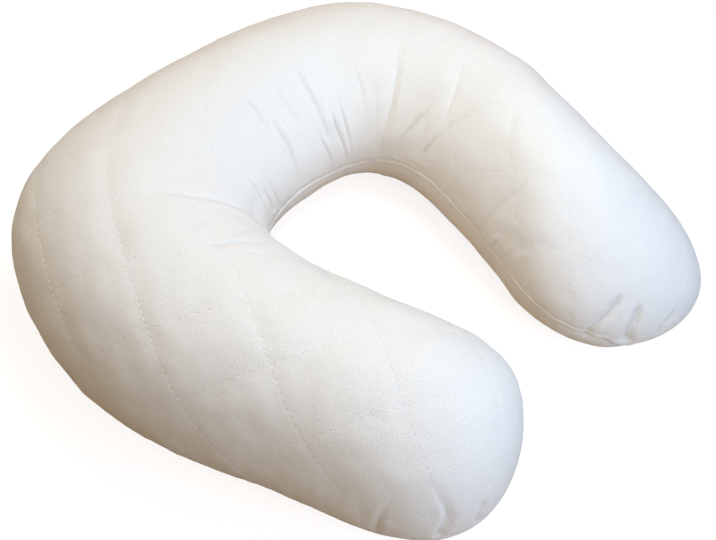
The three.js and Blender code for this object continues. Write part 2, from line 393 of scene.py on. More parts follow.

# %% Gathers and tucks
# A row for each fold: its path from the faint end to the deep end, as places of section row and
# angle, then its depth, which is below 0 for a standing pleat, its width, how far it leans over to
# the side of the lower rows, the share of its path over which it deepens, and the share of its
# depth that is left at the deep end. The paths were traced by eye in the photograph, turned into
# rows and angles by a scratch program, and then moved by hand. The other columns were set one by
# one.
FOLDS = [
    # the left side of the bend
    (((2.64, 96), (2.65, 112), (2.65, 128), (2.69, 146), (2.82, 160)), 1.2, 3.0, 0.1, 0.20, 0.7),
    (((2.25, 99), (2.32, 109), (2.37, 115)), 0.6, 1.8, 0.3, 0.45, 0.6),
    (((2.17, 100), (2.15, 110), (2.13, 130)), 1.7, 2.6, -0.6, 0.45, 0.2),
    (((2.18, 112), (2.23, 123), (2.29, 131), (2.37, 143)), 0.9, 1.7, 0.2, 0.45, 0.4),
    (((3.30, 140), (3.28, 152), (3.23, 166), (3.23, 178)), 1.4, 1.1, 0.0, 0.45, 1.0),
    (((3.53, 154), (3.50, 165), (3.53, 180)), 1.3, 1.0, 0.0, 0.45, 1.0),
    (((3.42, 156), (3.38, 165), (3.38, 177)), 2.2, 1.0, 0.0, 0.45, 1.0),
    # over the middle of the bend
    (((3.93, 108), (3.94, 120), (3.92, 132)), 1.3, 1.7, 0.1, 0.45, 0.8),
    (((4.01, 122), (4.00, 137), (4.00, 150), (3.97, 168), (3.96, 178)), 2.0, 1.8, 0.1, 0.40, 0.25),
    (((4.18, 113), (4.19, 124), (4.20, 138)), 1.0, 1.4, 0.1, 0.45, 0.7),
    (((4.41, 106), (4.43, 118), (4.45, 134), (4.48, 156)), 1.8, 1.7, 0.1, 0.40, 0.9),
    (((4.35, 144), (4.38, 156), (4.45, 172), (4.47, 182)), 1.2, 1.0, 0.1, 0.45, 0.6),
    (((4.58, 138), (4.60, 152), (4.65, 165), (4.70, 181)), 1.8, 1.0, 0.1, 0.40, 0.3),
    (((4.68, 130), (4.71, 147), (4.74, 160), (4.76, 178)), 1.4, 1.2, 0.1, 0.40, 0.25),
    (((4.92, 118), (4.97, 130), (5.01, 148)), 0.7, 1.3, 0.2, 0.45, 0.7),
    (((5.10, 126), (5.16, 141), (5.17, 162)), 0.25, 1.6, 0.3, 0.45, 1.0),
    # the right side of the bend
    (((5.33, 66), (5.36, 99), (5.38, 121), (5.36, 141), (5.31, 156), (5.24, 172)), 6.0, 3.6, -0.2, 1.5, 0.35),
    (((5.86, 127), (5.80, 137), (5.74, 145), (5.65, 154), (5.55, 163)), 1.1, 1.0, -0.2, 0.30, 0.5),
    (((5.84, 125), (5.775, 136), (5.715, 144), (5.625, 153), (5.525, 163)), -1.0, 1.1, 0.0, 0.40, 0.6),
    (((5.83, 138), (5.83, 147), (5.79, 157)), 0.3, 1.6, 0.0, 0.45, 0.6),
    (((5.90, 94), (5.95, 108), (5.98, 122), (6.00, 136)), 0.35, 1.2, 0.0, 0.45, 1.0),
    (((6.28, 114), (6.18, 127), (6.08, 138), (6.00, 149), (5.90, 162)), 0.8, 0.9, -0.2, 0.30, 1.0),
    (((6.25, 114), (6.15, 126), (6.05, 137), (5.97, 148), (5.88, 161)), -0.6, 1.0, 0.0, 0.50, 1.0),
    # up from the seam of the far arm
    (((6.91, 120), (6.86, 136), (6.67, 176)), 0.6, 1.8, 0.3, 0.45, 1.0),
    (((6.39, 144), (6.31, 160), (6.19, 180)), -0.4, 1.6, 0.0, 0.45, 1.0),
    (((6.89, 164), (6.85, 169), (6.82, 176)), -1.7, 0.9, 0.0, 0.60, 1.0),
    (((6.95, 161), (6.91, 169), (6.89, 175)), -1.6, 0.9, 0.0, 0.60, 1.0),
    (((7.05, 157), (7.00, 164), (6.95, 172)), -1.4, 1.0, 0.0, 0.60, 1.0),
    (((7.22, 151), (7.14, 159), (7.06, 168)), -1.1, 1.1, 0.0, 0.60, 1.0),
    (((7.24, 156), (7.12, 178)), 0.4, 1.3, 0.2, 0.45, 1.0),
    # tucks at the end of the far arm
    (((7.76, 128), (7.77, 151), (7.72, 180)), 2.6, 2.8, 0.0, 0.30, 0.7),
    (((7.85, 124), (7.89, 148), (7.90, 184)), 4.2, 3.0, 0.2, 0.30, 1.0),
    (((7.96, 90), (7.98, 118), (7.985, 172)), 1.5, 2.2, 0.4, 0.45, 1.0),
    # puckers at the end of the near arm
    (((0.55, 34), (0.58, 20), (0.60, -6)), 1.1, 1.6, 0.2, 0.80, 1.0),
    (((0.40, 50), (0.34, 42), (0.26, 34), (0.22, 24), (0.24, 0)), 2.2, 2.6, -0.4, 0.8, 1.0),
    (((0.07, 51), (0.05, 28), (0.05, -10)), 2.2, 2.4, 0.0, 0.35, 1.0),
]


def millimetres_per(row_step, angle_step):
    """Millimetres of cloth in one section row or one degree, from two points a little apart."""
    beyond = form(rows[:, None] + row_step, angles + angle_step)
    before = form(rows[:, None] - row_step, angles - angle_step)
    return np.linalg.norm(beyond - before, axis=2) / (2 * (row_step + angle_step))


row_mm = millimetres_per(0.01, 0)
angle_mm = millimetres_per(0, 0.5)


def fold_line(path):
    """For every point, the distance in millimetres to a path, more than 0 beyond it, and the
    share of the path passed at the nearest place. The nearest stretch of the path counts."""
    knots = np.array(path, float)
    nearest = np.full(angles.shape, 1e9)
    signed = np.zeros_like(nearest)
    passed = np.zeros_like(nearest)
    for k, (here, there) in enumerate(zip(knots[:-1], knots[1:])):
        px = (rows[:, None] - here[0]) * row_mm
        py = (signed_angles - here[1]) * angle_mm
        vx = (there[0] - here[0]) * row_mm
        vy = (there[1] - here[1]) * angle_mm
        share = (px * vx + py * vy) / (vx**2 + vy**2)
        held = share.clip(0, 1)
        gap = np.hypot(px - held * vx, py - held * vy)
        near = gap < nearest
        nearest = np.where(near, gap, nearest)
        signed = np.where(near, gap * np.sign((px - share * vx) + 1e-9), signed)
        passed = np.where(near, (k + held) / (len(knots) - 1), passed)
    return signed, passed


# %% Add the folds up
FOLD_FADE = (3, 9)  # in widths of a crease, where its ridges start to fade and where they end
START_WIDTH = 0.5  # a crease's width at the faint end, as a share of its full width
FULL_PULL = 2  # a crease this deep is as sharp as they get
PULL_REACH = 3.2  # how far from its line a crease counts as sharp

gathers = np.zeros(angles.shape)
fold_gap = np.full(angles.shape, 20.0)  # millimetres to the nearest crease, more than 0 beyond it
# fold_pull also sets how deep the material's painted shade is at the crease's bottom
fold_pull = np.zeros(angles.shape)  # how deep that crease is here, from 0 to 1
for path, depth, width, lean, rise, left in FOLDS:
    signed, passed = fold_line(path)
    strength = smooth(passed / rise) * (1 - (1 - left) * smooth(2 * passed - 1))
    strength *= smooth((FOLD_FADE[1] * width - np.abs(signed)) / ((FOLD_FADE[1] - FOLD_FADE[0]) * width))
    widening = START_WIDTH + (1 - START_WIDTH) * passed
    gathers += depth * strength * crease(signed, width * widening, lean)
    closer = (np.abs(signed) < np.abs(fold_gap)) & (strength > 0.01)
    fold_gap = np.where(closer, signed, fold_gap)
    fold_pull = np.where(closer, strength * np.clip(depth / FULL_PULL, 0, 1), fold_pull)
fold_pull *= smooth(PULL_REACH - np.abs(fold_gap))

# %% [markdown]
# ## Filling the bag
#
# What makes a cushion look filled is cloth under tension. It bulges where the fibre pushes, and it
# goes slack where there is more of it than the shape needs, as inside the bend. Blender's cloth
# simulation works that out on a coarser copy of the form. The rest shape of the copy is the bag
# with its arms opened, so the inner side has cloth to spare, and pressure stands for the fibre.
# The simulation starts from the form with its folds pressed in, and the moves of its points are
# read back and added to the fine surface, so no modifier is left. They are capped at a small
# length: the simulation settles the cloth a little, and the folds come from the table above.

# %% Helpers that make a mesh
def in_scene(name, data):
    """A new object in the scene for a mesh, a camera or a lamp."""
    item = bpy.data.objects.new(name, data)
    bpy.context.collection.objects.link(item)
    return item


def closed_tube_faces(rings, points):
    """Quads between neighbouring rings, and a fan of triangles from the first and last vertex."""
    k, j = np.meshgrid(np.arange(rings - 1), np.arange(points), indexing="ij")
    here = 1 + k * points + j
    beside = 1 + k * points + (j + 1) % points
    quads = np.stack([here, beside, beside + points, here + points], -1).reshape(-1, 4)
    j = np.arange(points)
    first = np.stack([np.zeros(points, int), 1 + (j + 1) % points, 1 + j], -1)
    base = 1 + (rings - 1) * points
    last = np.stack([np.full(points, base + points), base + j, base + (j + 1) % points], -1)
    return quads, np.concatenate([first, last])


def mesh_from_arrays(name, vertices, quads, triangles):
    """A new mesh object from vertex and face arrays, in millimetres, with smooth shading."""
    corners = np.concatenate([quads.ravel(), triangles.ravel()])
    sizes = np.concatenate([np.full(len(quads), 4), np.full(len(triangles), 3)])
    mesh = bpy.data.meshes.new(name)
    mesh.vertices.add(len(vertices))
    mesh.vertices.foreach_set("co", (vertices * MM).astype(np.float32).ravel())
    mesh.loops.add(len(corners))
    mesh.loops.foreach_set("vertex_index", corners.astype(np.int32))
    mesh.polygons.add(len(sizes))
    mesh.polygons.foreach_set("loop_start", (np.cumsum(sizes) - sizes).astype(np.int32))
    mesh.update(calc_edges=True)
    mesh.polygons.foreach_set("use_smooth", np.ones(len(sizes), bool))
    mesh.validate()
    return in_scene(name, mesh)


# %% Simulate a coarse copy
SIM_RING_STEP, SIM_POINT_STEP = 3, 2  # the copy has every third ring and every second point
SIM_FRAMES = 20
SIM_SEED = 0.6  # share of the folds' depth that is pressed in at the start
SIM_OPENED = 0.5  # share of the bend that the rest shape has straightened out
SIM_CAP = 2.0  # no point moves further than this
SIM_PINNED = 3.0  # points lower than this stay where they are
SIM_FLOOR_FADE = 14  # height over which the folds fade out towards the flat base
SOFTENING = 3  # how many times the moves are averaged with their neighbours


def opened(points, share):
    """The rings set along a middle line whose turns are smaller by a share."""
    middle = points[:, points.shape[1] // 4, :2]
    step = np.diff(middle, axis=0)
    way = np.unwrap(np.arctan2(step[:, 1], step[:, 0]))
    way = np.concatenate([way[:1], (way[1:] + way[:-1]) / 2, way[-1:]])
    turn = -(way - way[len(way) // 2]) * share

    def turned(xy, angle):
        x, y, cos, sin = xy[..., 0], xy[..., 1], np.cos(angle), np.sin(angle)
        return np.stack([x * cos - y * sin, x * sin + y * cos], -1)

    line = np.concatenate([np.zeros((1, 2)), np.cumsum(turned(step, (turn[1:] + turn[:-1]) / 2), axis=0)])
    line += middle[len(line) // 2] - line[len(line) // 2]
    plan = line[:, None] + turned(points[..., :2] - middle[:, None], turn[:, None])
    return np.concatenate([plan, points[..., 2:]], -1)


def with_ends(rings):
    """All points of a tube with the two points that close its ends, a little beyond its rings."""
    return np.concatenate([rings[:1].mean(axis=1), rings.reshape(-1, 3), rings[-1:].mean(axis=1)])


def simulated(start, rest):
    """Where the points of a closed tube of cloth go under pressure."""
    bag = mesh_from_arrays("bag", with_ends(start), *closed_tube_faces(*start.shape[:2]))
    bag.shape_key_add(name="start")
    rest_key = bag.shape_key_add(name="rest")
    rest_key.data.foreach_set("co", (with_ends(rest) * MM).astype(np.float32).ravel())
    pinned = bag.vertex_groups.new(name="pinned")
    pinned.add(np.flatnonzero(with_ends(start)[:, 2] < SIM_PINNED).tolist(), 1.0, "REPLACE")
    bpy.context.view_layer.objects.active = bag
    modifier = bag.modifiers.new("cloth", "CLOTH")
    modifier.point_cache.frame_end = SIM_FRAMES
    modifier.collision_settings.use_collision = False
    cloth = modifier.settings
    cloth.quality = 5
    cloth.mass = 0.02
    cloth.tension_stiffness = cloth.compression_stiffness = 15
    cloth.shear_stiffness = 5
    cloth.bending_stiffness = 0.05
    cloth.tension_damping = cloth.compression_damping = cloth.shear_damping = 0.5
    cloth.air_damping = 0
    cloth.use_pressure = True
    cloth.uniform_pressure_force = 40
    cloth.effector_weights.gravity = 0
    cloth.vertex_group_mass = "pinned"
    cloth.rest_shape_key = rest_key
    for step in range(1, SIM_FRAMES + 1):
        bpy.context.scene.frame_set(step)
    blown = bag.evaluated_get(bpy.context.evaluated_depsgraph_get()).data
    points = np.empty(len(blown.vertices) * 3, np.float32)
    blown.vertices.foreach_get("co", points)
    mesh = bag.data
    bpy.data.objects.remove(bag)
    bpy.data.meshes.remove(mesh)
    bpy.context.scene.frame_set(1)
    return points.reshape(-1, 3)[1:-1].reshape(start.shape) / MM


def refined(values):
    """Values of the coarse copy at every point of the fine grid, softened."""
    across = np.repeat(values, SIM_POINT_STEP, axis=1)
    across[:, 1::2] = (values + np.roll(values, -1, axis=1)) / 2
    ring = np.clip((np.arange(RINGS) - 1) / SIM_RING_STEP, 0, len(values) - 1)
    low = np.minimum(ring.astype(int), len(values) - 2)
    share = (ring - low)[:, None, None]
    fine = across[low] * (1 - share) + across[low + 1] * share
    for k in range(SOFTENING):
        fine = (np.roll(fine, 1, axis=1) + 2 * fine + np.roll(fine, -1, axis=1)) / 4
        fine[1:-1] = (fine[:-2] + 2 * fine[1:-1] + fine[2:]) / 4
    return fine


sim_move = np.zeros_like(smooth_form)
coarse = slice(1, None, SIM_RING_STEP), slice(None, None, SIM_POINT_STEP)
off_floor = smooth(smooth_form[..., 2] / SIM_FLOOR_FADE)
pressed = smooth_form - normal * (SIM_SEED * gathers * off_floor)[..., None]
move = simulated(pressed[coarse], opened(smooth_form[coarse], SIM_OPENED)) - pressed[coarse]
length = np.linalg.norm(move, axis=2, keepdims=True)
sim_move = refined(move * np.minimum(1, SIM_CAP / np.maximum(length, 1e-6)))
outward_move = (sim_move * normal).sum(axis=2)
print("simulated moves:", np.round([outward_move.min(), outward_move.max()], 1).tolist(), "mm outwards")

# %% Seam groove and puckers
LIP_PLACE, LIP_WIDTH = 0.5, 1.5  # of the rolled edge, above the seam line
LIP_VALLEY = 0.45  # depth of the valley above the rolled edge
VALLEY_PLACE, VALLEY_WIDTH = 3.2, 1.6
SEAM_STEP = 1.3  # how far the under panel is drawn in just below the seam
STEP_WIDTH = 1.6  # width of the step between the two panels
UPPER_DRAW = 0.6  # how far the upper panel is drawn in above the seam
UPPER_REACH, UNDER_REACH = 7.0, 9.0  # how far from the seam the drawing in fades
PUCKER = 0.30  # height of the small puckers that the seam's thread pulls
PUCKER_SIZE, PUCKER_REACH = 9.0, 8.0
UNDER_PUCKER = 0.15  # share of their height on and below the seam

seam_gap = np.abs(seam_distance)
below = smooth(0.5 - seam_distance / STEP_WIDTH)
seam_relief = column["seam_lip"](rows)[:, None] * bell(seam_distance - LIP_PLACE, LIP_WIDTH)
seam_relief -= LIP_VALLEY * bell(seam_distance - VALLEY_PLACE, VALLEY_WIDTH)
seam_relief -= UPPER_DRAW * (1 - below) * np.exp(-seam_gap / UPPER_REACH)
seam_relief -= (UPPER_DRAW + SEAM_STEP) * below * np.exp(-seam_gap / UNDER_REACH)
pucker = PUCKER * wave_noise(smooth_form * [1, 1, 0.3], PUCKER_SIZE, 14, rng)
pucker *= np.exp(-seam_gap / PUCKER_REACH)
pucker *= UNDER_PUCKER + (1 - UNDER_PUCKER) * smooth((seam_distance - 1) / 3)

# %% Unevenness of the filling
LUMPS = ((110.0, 0.45, 10), (42.0, 0.28, 14), (17.0, 0.10, 18))  # size, height, number of waves
LINE_PUCKER = 0.10  # height of the small puckers beside the stitch lines
LINE_PUCKER_SIZE, LINE_PUCKER_REACH = 6.5, 4.0
RIPPLE = 0.09  # height of the ripples along the near arm's lower outer edge
RIPPLE_LENGTH = 8.0
RIPPLE_ROWS = (0.5, 2.4, 0.4, 0.8)  # where they start and stop, and how softly
RIPPLE_ANGLE, RIPPLE_SPREAD = -5, 26

filling = sum(h * wave_noise(smooth_form, size, n, rng) for size, h, n in LUMPS)
line_pucker = LINE_PUCKER * wave_noise(smooth_form, LINE_PUCKER_SIZE, 20, rng)
line_pucker *= np.exp(-line_gap / LINE_PUCKER_REACH)
outer_step = np.linalg.norm(np.diff(smooth_form[:, 0], axis=0), axis=1)
outer_walk = np.concatenate([[0], np.cumsum(outer_step)])[:, None]
ripple_zone = bell(signed_angles - RIPPLE_ANGLE, RIPPLE_SPREAD) * between(rows[:, None], *RIPPLE_ROWS)
ripple_shift = 1.5 * wave_noise(smooth_form, 30, 8, rng)
ripple_wave = np.sin(2 * np.pi * outer_walk / RIPPLE_LENGTH + ripple_shift)
ripple = RIPPLE * ripple_zone * ripple_wave

# %% Move the surface
BASE_FADE = 12.0  # height over which the relief fades out towards the flat base

off_base = smooth(smooth_form[..., 2] / BASE_FADE)
on_tip = end_rounding(rows)[:, None]
swell = (filling + pucker + line_pucker + ripple + seam_relief) * on_tip - gathers
relief = swell * off_base - quilt_depth * on_tip
surface = smooth_form + sim_move * (off_base * on_tip)[..., None] + normal * relief[..., None]
surface[..., 2] = np.maximum(surface[..., 2], 0)
tips = form(all_rows[[0, -1]], 0.0)
print("relief:", round(float(relief.min()), 1), "to", round(float(relief.max()), 1), "mm")

# %% Put the form where the frame has it
box_low, box_high = (np.array([corner[0], corner[1]], float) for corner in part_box("quilted_pillow"))
plan = smooth_form[..., :2].reshape(-1, 2)
place = np.append((box_low + box_high) / 2 / MM - (plan.min(axis=0) + plan.max(axis=0)) / 2, 0)
surface += place
tips = tips + place
print("place of the form:", np.round(place, 1).tolist(), "mm")


# %% Make the cover's mesh
quads, fans = closed_tube_faces(RINGS, RING_POINTS)
vertices = np.concatenate([tips[:1], surface.reshape(-1, 3), tips[1:]])
cover = mesh_from_arrays("pillow_cover", vertices, quads, fans)
print("cover:", len(vertices), "vertices,", 2 * len(quads) + len(fans), "triangles")

# %% [markdown]
# ## What the cotton has to know about each point
#
# The threads of the cloth and the stitch holes are finer than the mesh, so the material draws
# them. It needs the place in the flat panel for that, which is a UV map here, counted in quilting
# squares. For the sharp bottom of a crease and the slit under the seam's rolled edge it needs the
# distance to them, as attributes of the vertices. A distance changes evenly over a triangle, so
# the line that the material draws from it is far sharper than the triangles are.

# %% The panel's UV map and the distances


def with_tips(values):
    """A value for every vertex of the cover, each tip taking the mean of the ring beside it."""
    return np.concatenate([[values[0].mean()], values.ravel(), [values[-1].mean()]])


corners = np.concatenate([quads.ravel(), fans.ravel()])
quad_upper = with_tips(above_seam)[quads].mean(axis=1) > 0
fan_upper = with_tips(above_seam)[fans].mean(axis=1) > 0
corner_upper = np.concatenate([np.repeat(quad_upper, 4), np.repeat(fan_upper, 3)])
panel_map = cover.data.uv_layers.new(name="panel")
uv = [
    np.where(corner_upper, with_tips(upper)[corners], with_tips(under)[corners])
    for upper, under in zip(upper_grid, under_grid)
]
panel_map.data.foreach_set("uv", np.stack(uv, -1).astype(np.float32).ravel())
point_values = {"seam_gap": seam_distance.clip(-20, 20), "fold_gap": fold_gap, "fold_pull": fold_pull}
for name, values in point_values.items():
    attribute = cover.data.attributes.new(name, "FLOAT", "POINT")
    attribute.data.foreach_set("value", with_tips(values).astype(np.float32))

# %% [markdown]
# ## The stitches
#
# A long machine stitch runs along every quilting line. What shows is a short thread, then the
# hole where it dives, then the next thread. The mesh itself says where they are: where a
# whole-number line of the grid crosses a triangle, the crossing is a straight bit of that line,
# and each tenth of a square along it holds one stitch. Each thread is a small capsule whose ends
# dip into the cloth, and all of them are one mesh.

# %% Find the stitches on the triangles
STITCHES_PER_SQUARE = 10
SEAM_CLEARANCE = 2.5  # no stitch comes closer to the seam than this

vertex_normal = np.cross(around(surface), along(surface))
vertex_normal /= np.linalg.norm(vertex_normal, axis=2, keepdims=True)
triangles = np.concatenate([quads[:, [0, 1, 2]], quads[:, [0, 2, 3]]]) - 1


def stitches_on(line, other, clear, wanted):
    """Centres, directions, normals and clearness of the stitches, on the wanted triangles, where
    the grid value called line is a whole number. The other grid value counts the stitches."""
    level = np.ceil(line.ravel()[triangles].min(axis=1))
    gap = line.ravel()[triangles] - level[:, None]
    use = (gap.max(axis=1) > 0) & (gap.min(axis=1) < 0) & wanted.ravel()[triangles].all(axis=1)
    gap, corner = gap[use], triangles[use]
    here, there = [0, 1, 2], [1, 2, 0]
    cut = gap[:, here] * gap[:, there] < 0
    corner, gap, cut = (values[cut.sum(axis=1) == 2] for values in (corner, gap, cut))
    share = gap[:, here] / np.where(cut, gap[:, here] - gap[:, there], 1)
    each = np.arange(len(corner))
    first, last = cut.argmax(axis=1), 2 - cut[:, ::-1].argmax(axis=1)

    def ends(values):
        """The values at the two places where the line enters and leaves each triangle."""
        v = values.reshape(-1, values.shape[-1])[corner]
        on_edge = v[:, here] + share[..., None] * (v[:, there] - v[:, here])
        return on_edge[each, first], on_edge[each, last]

    (count_a,), (count_b,) = (c.T for c in ends(other[..., None] * STITCHES_PER_SQUARE))
    (point_a, point_b), (normal_a, normal_b) = ends(surface), ends(vertex_normal)
    clearness = ends(clear[..., None])[0]
    low, high = np.minimum(count_a, count_b), np.maximum(count_a, count_b)
    found = []
    for extra in range(3):
        centre = np.ceil(low - 0.5) + 0.5 + extra
        on = centre < high
        s = ((centre - count_a) / (count_b - count_a))[on, None]
        way = ((point_b - point_a) * np.sign(count_b - count_a)[:, None])[on]
        outward = (normal_a + normal_b)[on]
        found.append((point_a[on] + s * (point_b - point_a)[on], way, outward, clearness[on]))
    return [np.concatenate(part) for part in zip(*found)]


on_upper, on_under = seam_distance > SEAM_CLEARANCE, seam_distance < -SEAM_CLEARANCE
runs = []
for (u, v), wanted in ((upper_grid, on_upper), (under_grid, on_under)):
    runs.append(stitches_on(u, v, line_share[0], wanted))
    runs.append(stitches_on(v, u, line_share[1], wanted))
centre, way, outward, clearness = (np.concatenate(part) for part in zip(*runs))
way /= np.linalg.norm(way, axis=1, keepdims=True)
outward -= (outward * way).sum(axis=1, keepdims=True) * way
outward /= np.linalg.norm(outward, axis=1, keepdims=True)
print("stitches:", len(centre))

# %% One capsule for each stitch
STITCH_LENGTH = 3.1
STITCH_RADIUS = 0.26
STITCH_RISE = (-0.16, 0.02)  # of its middle line over the cloth, on the faintest and clearest line
STITCH_DIP = 0.40  # how far its ends dip from there
CLEAREST_SHARE = 0.5  # share of the quilting's depth from which a line counts as the clearest
CAPSULE_RINGS = ((-0.88, 0.62), (-0.35, 1.0), (0.35, 1.0), (0.88, 0.62))  # place, share of radius
CAPSULE_SIDES = 6

sides = [(u, r, k / CAPSULE_SIDES) for u, r in CAPSULE_RINGS for k in range(CAPSULE_SIDES)]
place_along, thickness, turns = np.array([(-1, 0, 0)] + sides + [(1, 0, 0)]).T
thickness = thickness * STITCH_RADIUS
turns = turns * 2 * np.pi
dip = STITCH_DIP * np.abs(place_along) ** 3
lift = STITCH_RISE[0] + (STITCH_RISE[1] - STITCH_RISE[0]) * smooth(clearness / CLEAREST_SHARE)
rise = lift - dip + thickness * np.sin(turns)
sideways = np.cross(outward, way)
threads = (
    centre[:, None]
    + way[:, None] * (place_along * STITCH_LENGTH / 2)[:, None]
    + sideways[:, None] * (thickness * np.cos(turns))[:, None]
    + outward[:, None] * rise[..., None]
)
threads[..., 2] = np.maximum(threads[..., 2], 0)
capsule_quads, capsule_fans = closed_tube_faces(len(CAPSULE_RINGS), CAPSULE_SIDES)
first_vertex = (np.arange(len(centre)) * len(place_along))[:, None, None]
stitches = mesh_from_arrays(
    "quilting_stitches",
    threads.reshape(-1, 3),
    (capsule_quads[None] + first_vertex).reshape(-1, 4),
    (capsule_fans[None] + first_vertex).reshape(-1, 3),
)
stitch_triangles = len(centre) * (2 * len(capsule_quads) + len(capsule_fans))
print("stitch mesh:", stitch_triangles, "triangles")

# %% [markdown]
# ## The camera
#
# The photograph looks down on the pillow from its left front. The elevation and the distance were
# chosen, and the turn, the focal length and the axis pixel are from the fit that gave the sections.
# The fitted lens axis lies off the picture's middle, as if the photograph had been cropped, so the
# lens is shifted instead of turned.

# %% Camera
CAMERA_AZIMUTH = -46.2
CAMERA_ELEVATION = 50.0
CAMERA_DISTANCE = 550.0
CAMERA_AIM = (0.0, -132.0, 55.0)  # in the sections' own millimetres
FOCAL_PIXELS = 852.5
AXIS_PIXEL = (362.5, 216.8)  # where the lens axis meets the 716 by 540 photograph
PHOTO_SIZE = (716, 540)
SENSOR_WIDTH = 36


def direction(azimuth, elevation):
    """The unit vector towards a camera or a lamp. Azimuth 0 is the front, 90 the right."""
    a, e = math.radians(azimuth), math.radians(elevation)
    return Vector((math.sin(a) * math.cos(e), -math.cos(a) * math.cos(e), math.sin(e)))


back = direction(CAMERA_AZIMUTH, CAMERA_ELEVATION)
aim = Vector([(CAMERA_AIM[k] + place[k]) * MM for k in range(3)])
right = direction(CAMERA_AZIMUTH + 90, 0)
up = back.cross(right)
camera_data = bpy.data.cameras.new("camera")
camera = in_scene("camera", camera_data)
turn = Matrix((right, up, back)).transposed().to_4x4()
camera.matrix_world = Matrix.Translation(aim + back * CAMERA_DISTANCE * MM) @ turn
camera_data.sensor_width = SENSOR_WIDTH
camera_data.lens = FOCAL_PIXELS / PHOTO_SIZE[0] * SENSOR_WIDTH
camera_data.shift_x = (PHOTO_SIZE[0] / 2 - AXIS_PIXEL[0]) / PHOTO_SIZE[0]
camera_data.shift_y = (AXIS_PIXEL[1] - PHOTO_SIZE[1] / 2) / PHOTO_SIZE[0]
camera_data.clip_start = 0.01
bpy.context.scene.camera = camera

# %% [markdown]
# ## The floor
#
# The photograph is cut out on white, yet the cloth's undersides are tinted, as if it had lain on
# something warm. A white floor would light them cold, and a brown one would show. So the floor
# has two faces: a camera ray sees white paper that takes the pillow's soft shadow, and every other
# ray sees a warm table top.

# %% Floor
FLOOR_SIZE = 4.0
TABLE_COLOR = (0.55, 0.37, 0.20, 1)
PAPER_COLOR = (0.40, 0.40, 0.41, 1)
PAPER_GLOW = 0.80  # light that the paper adds for the camera, so that it comes out white

floor_mesh = bpy.data.meshes.new("floor")
half = FLOOR_SIZE / 2
floor_corners = [(-half, -half, 0), (half, -half, 0), (half, half, 0), (-half, half, 0)]
floor_mesh.from_pydata(floor_corners, [], [(0, 1, 2, 3)])
floor = in_scene("floor", floor_mesh)
floor_material = bpy.data.materials.new("floor")
floor_material.use_nodes = True
nodes, links = floor_material.node_tree.nodes, floor_material.node_tree.links
nodes.clear()


def add(kind, **inputs):
    """A new node of the material being built, with its input values set by name."""
    node = nodes.new(kind)
    for name, value in inputs.items():
        node.inputs[name.replace("_", " ")].default_value = value
    return node


table = add("ShaderNodeBsdfDiffuse", Color=TABLE_COLOR)
paper = add("ShaderNodeBsdfDiffuse", Color=PAPER_COLOR)
glow = add("ShaderNodeEmission", Color=(1.0, 1.0, 1.0, 1), Strength=PAPER_GLOW)
lit_paper = nodes.new("ShaderNodeAddShader")
links.new(paper.outputs[0], lit_paper.inputs[0])
links.new(glow.outputs[0], lit_paper.inputs[1])
seen = nodes.new("ShaderNodeLightPath")
either = nodes.new("ShaderNodeMixShader")
links.new(seen.outputs["Is Camera Ray"], either.inputs[0])
links.new(table.outputs[0], either.inputs[1])
links.new(lit_paper.outputs[0], either.inputs[2])
links.new(either.outputs[0], nodes.new("ShaderNodeOutputMaterial").inputs[0])
floor_mesh.materials.append(floor_material)

# %% [markdown]
# ## The cotton
#
# Plain woven cotton is matt, with a faint nap that lightens it at grazing angles. Three node
# groups draw what the mesh leaves out: the narrow groove and the needle holes along the stitch
# lines, the uneven threads of the weave, and the sharp bottom of a crease. Each gives a height in
# millimetres for one shared bump. The weave also gives a tint, because its thick and thin threads are
# lighter and darker. The holes and the creases, and the slit under the seam's rolled edge, give
# painted shade: a darkening of the colour, because little light reaches into a hole or a slit.

# %% Small helpers for node groups


def new_group(name, inputs, outputs):
    """A node group with sockets given as (name, kind), with its input and output nodes."""
    tree = bpy.data.node_groups.new(name, "ShaderNodeTree")
    for sockets, way in ((inputs, "INPUT"), (outputs, "OUTPUT")):
        for socket, kind in sockets:
            tree.interface.new_socket(name=socket, in_out=way, socket_type="NodeSocket" + kind)
    return tree, tree.nodes.new("NodeGroupInput"), tree.nodes.new("NodeGroupOutput")


def calc(tree, operation, *values):
    """The result socket of one math node. Each value is a number or another node's socket."""
    node = tree.nodes.new("ShaderNodeMath")
    node.operation = operation
    for socket, value in zip(node.inputs, values):
        if isinstance(value, bpy.types.NodeSocket):
            tree.links.new(value, socket)
        else:
            socket.default_value = value
    return node.outputs[0]


def bell_node(tree, squared_distance, width):
    """exp of minus the squared distance over the squared width, as nodes."""
    return calc(tree, "EXPONENT", calc(tree, "MULTIPLY", squared_distance, -1 / width**2))


# %% Stitch lines and needle holes
LINE_WIDTH = 0.8
LINE_DEPTH = 0.06
HOLE_WIDTH = 0.45
HOLE_DEPTH = 0.10

outputs = [("Height", "Float"), ("Hole", "Float")]
tree, given, result = new_group("stitch_lines", [("Panel", "Vector")], outputs)
split = tree.nodes.new("ShaderNodeSeparateXYZ")
tree.links.new(given.outputs["Panel"], split.inputs[0])
to_line, to_hole = [], []
for axis in (0, 1):
    place_on = split.outputs[axis]
    gap = calc(tree, "SUBTRACT", place_on, calc(tree, "ROUND", place_on))
    to_line.append(calc(tree, "POWER", calc(tree, "MULTIPLY", gap, QUILT_CELL), 2))
    counted = calc(tree, "MULTIPLY", place_on, STITCHES_PER_SQUARE)
    gap = calc(tree, "SUBTRACT", counted, calc(tree, "ROUND", counted))
    to_hole.append(calc(tree, "POWER", calc(tree, "MULTIPLY", gap, QUILT_CELL / STITCHES_PER_SQUARE), 2))
line = calc(tree, "MAXIMUM", *(bell_node(tree, square, LINE_WIDTH) for square in to_line))
holes = [bell_node(tree, calc(tree, "ADD", to_line[k], to_hole[1 - k]), HOLE_WIDTH) for k in (0, 1)]
hole = calc(tree, "MAXIMUM", *holes)
